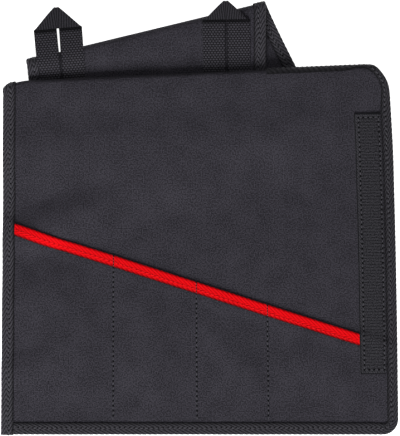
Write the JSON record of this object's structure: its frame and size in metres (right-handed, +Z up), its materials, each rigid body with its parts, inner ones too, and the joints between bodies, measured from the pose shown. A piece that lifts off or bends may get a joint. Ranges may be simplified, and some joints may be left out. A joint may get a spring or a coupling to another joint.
{
  "type": "tool roll",
  "caption": "Opened empty cloth tool roll lying flat: pockets under a slanting taped mouth, top fold with a cover tucked behind, webbing hanging loops and a fastener strip.",
  "frame": {"origin": "on the underside of the panel, at the middle of its bound width and of its mean bound height", "axes": "+Z up from the surface that the roll lies on, with the pockets on the upper side; +Y towards the hanging loops; +X towards the fastener strip"},
  "size_m": [0.3487, 0.382, 0.0169],
  "materials": {
    "cloth": "black woven polyester cloth, matt with a faint sheen",
    "binding_tape": "black herringbone binding tape",
    "mouth_tape": "red herringbone tape",
    "fastener": "black brushed loop pile",
    "webbing": "black woven webbing"
  },
  "bodies": {
    "root": {"panel": "cloth", "pocket_cloth": "cloth", "cover": "cloth", "left_binding": "binding_tape", "edge_binding": "binding_tape", "cover_binding": "binding_tape", "mouth_binding": "mouth_tape", "fastener_strip": "fastener", "hanging_loop_left": "webbing", "hanging_loop_right": "webbing"}
  },
  "joints": []
}
